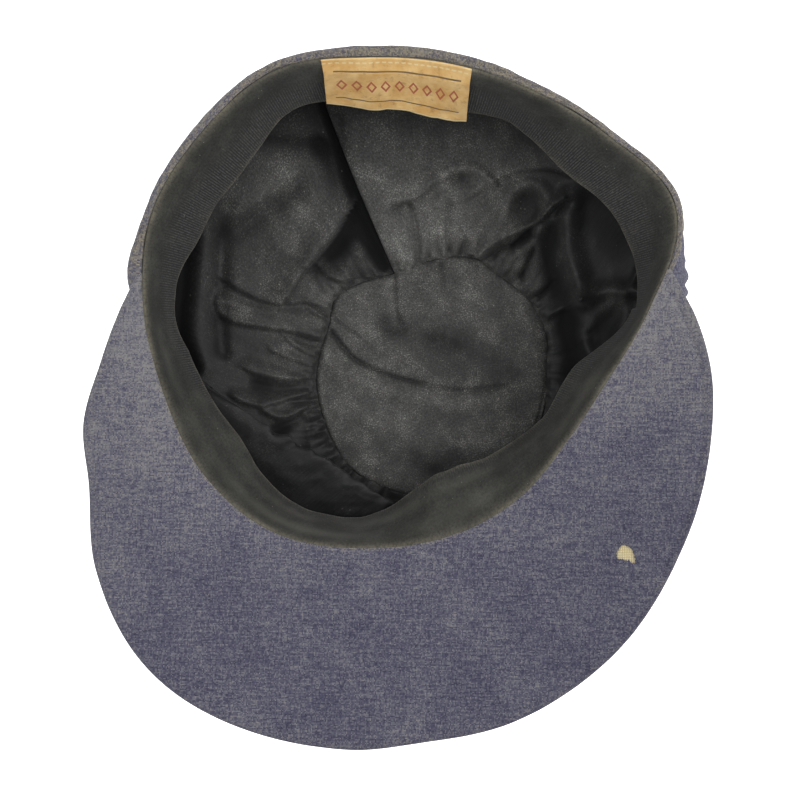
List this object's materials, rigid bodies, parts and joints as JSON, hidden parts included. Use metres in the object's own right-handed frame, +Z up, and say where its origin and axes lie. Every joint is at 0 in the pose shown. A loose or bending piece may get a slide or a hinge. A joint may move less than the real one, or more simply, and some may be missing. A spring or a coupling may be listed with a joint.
{
  "type": "kepi cap",
  "caption": "Soft blue-grey cloth cap with a wide visor, lying upside down and open: crown, hemmed band, ribbon sweatband, gathered dark lining and small tan label.",
  "frame": {"origin": "centre of the round crown tip, on the surface that the upturned cap rests on", "axes": "+Z up, out of the head opening; -Y towards the visor; +X to the right, as seen from above with the visor towards the viewer"},
  "size_m": [0.2292, 0.2592, 0.0925],
  "materials": {
    "outer_cloth": "matt heathered wool cloth, blue and grey yarns",
    "band_cloth": "the same cloth, worn greyer and tan along the hem",
    "canvas": "stiff cream woven canvas",
    "ribbon": "ribbed dark grosgrain ribbon, dusty",
    "lining": "thin charcoal satin, dusty",
    "label": "woven golden tan satin, soft sheen"
  },
  "bodies": {
    "root": {"crown_tip": "outer_cloth", "crown_side": "outer_cloth", "head_band": "band_cloth", "brim_top": "outer_cloth", "brim_canvas": "canvas", "brim_under": "outer_cloth", "sweatband": "ribbon", "lining_side": "lining", "lining_tip": "lining", "label": "label"}
  },
  "joints": []
}
